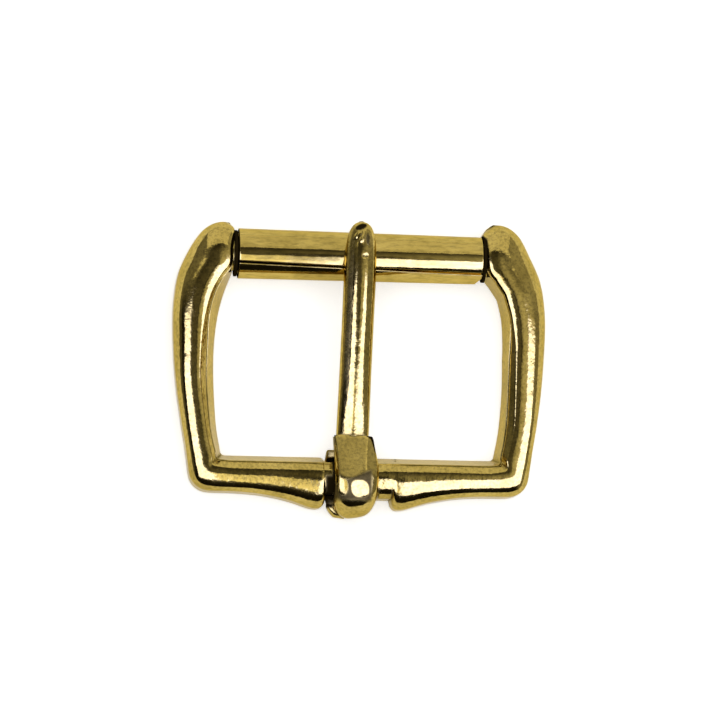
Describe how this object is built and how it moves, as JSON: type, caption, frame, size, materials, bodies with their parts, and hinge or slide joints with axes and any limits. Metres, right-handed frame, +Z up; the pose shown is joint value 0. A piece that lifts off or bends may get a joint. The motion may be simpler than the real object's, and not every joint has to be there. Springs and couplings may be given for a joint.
{
  "type": "roller buckle",
  "caption": "Cast brass belt buckle with horned frame, rolled sheet roller on its axle and a prong that swings on the notched heel bar.",
  "frame": {"origin": "under the middle of the buckle's box, on the surface that it lies on", "axes": "+X along the roller and the heel bar, +Y from the heel bar to the roller, +Z up from the back to the front"},
  "size_m": [0.0518, 0.041, 0.0097],
  "materials": {
    "frame_brass": "polished cast brass",
    "roller_brass": "polished rolled sheet brass",
    "prong_brass": "polished cast brass"
  },
  "bodies": {
    "frame": {"frame": "frame_brass"},
    "roller": {"roller": "roller_brass"},
    "prong": {"prong": "prong_brass"}
  },
  "joints": [
    {"name": "roller_turn", "type": "hinge", "parent": "frame", "child": "roller", "pos_m": [0, 0.01588, 0.0039], "axis": [1, 0, 0], "continuous": true},
    {"name": "prong_swing", "type": "hinge", "parent": "frame", "child": "prong", "pos_m": [0, -0.01482, 0.0038], "axis": [1, 0, 0], "range_deg": [0, 175]}
  ]
}
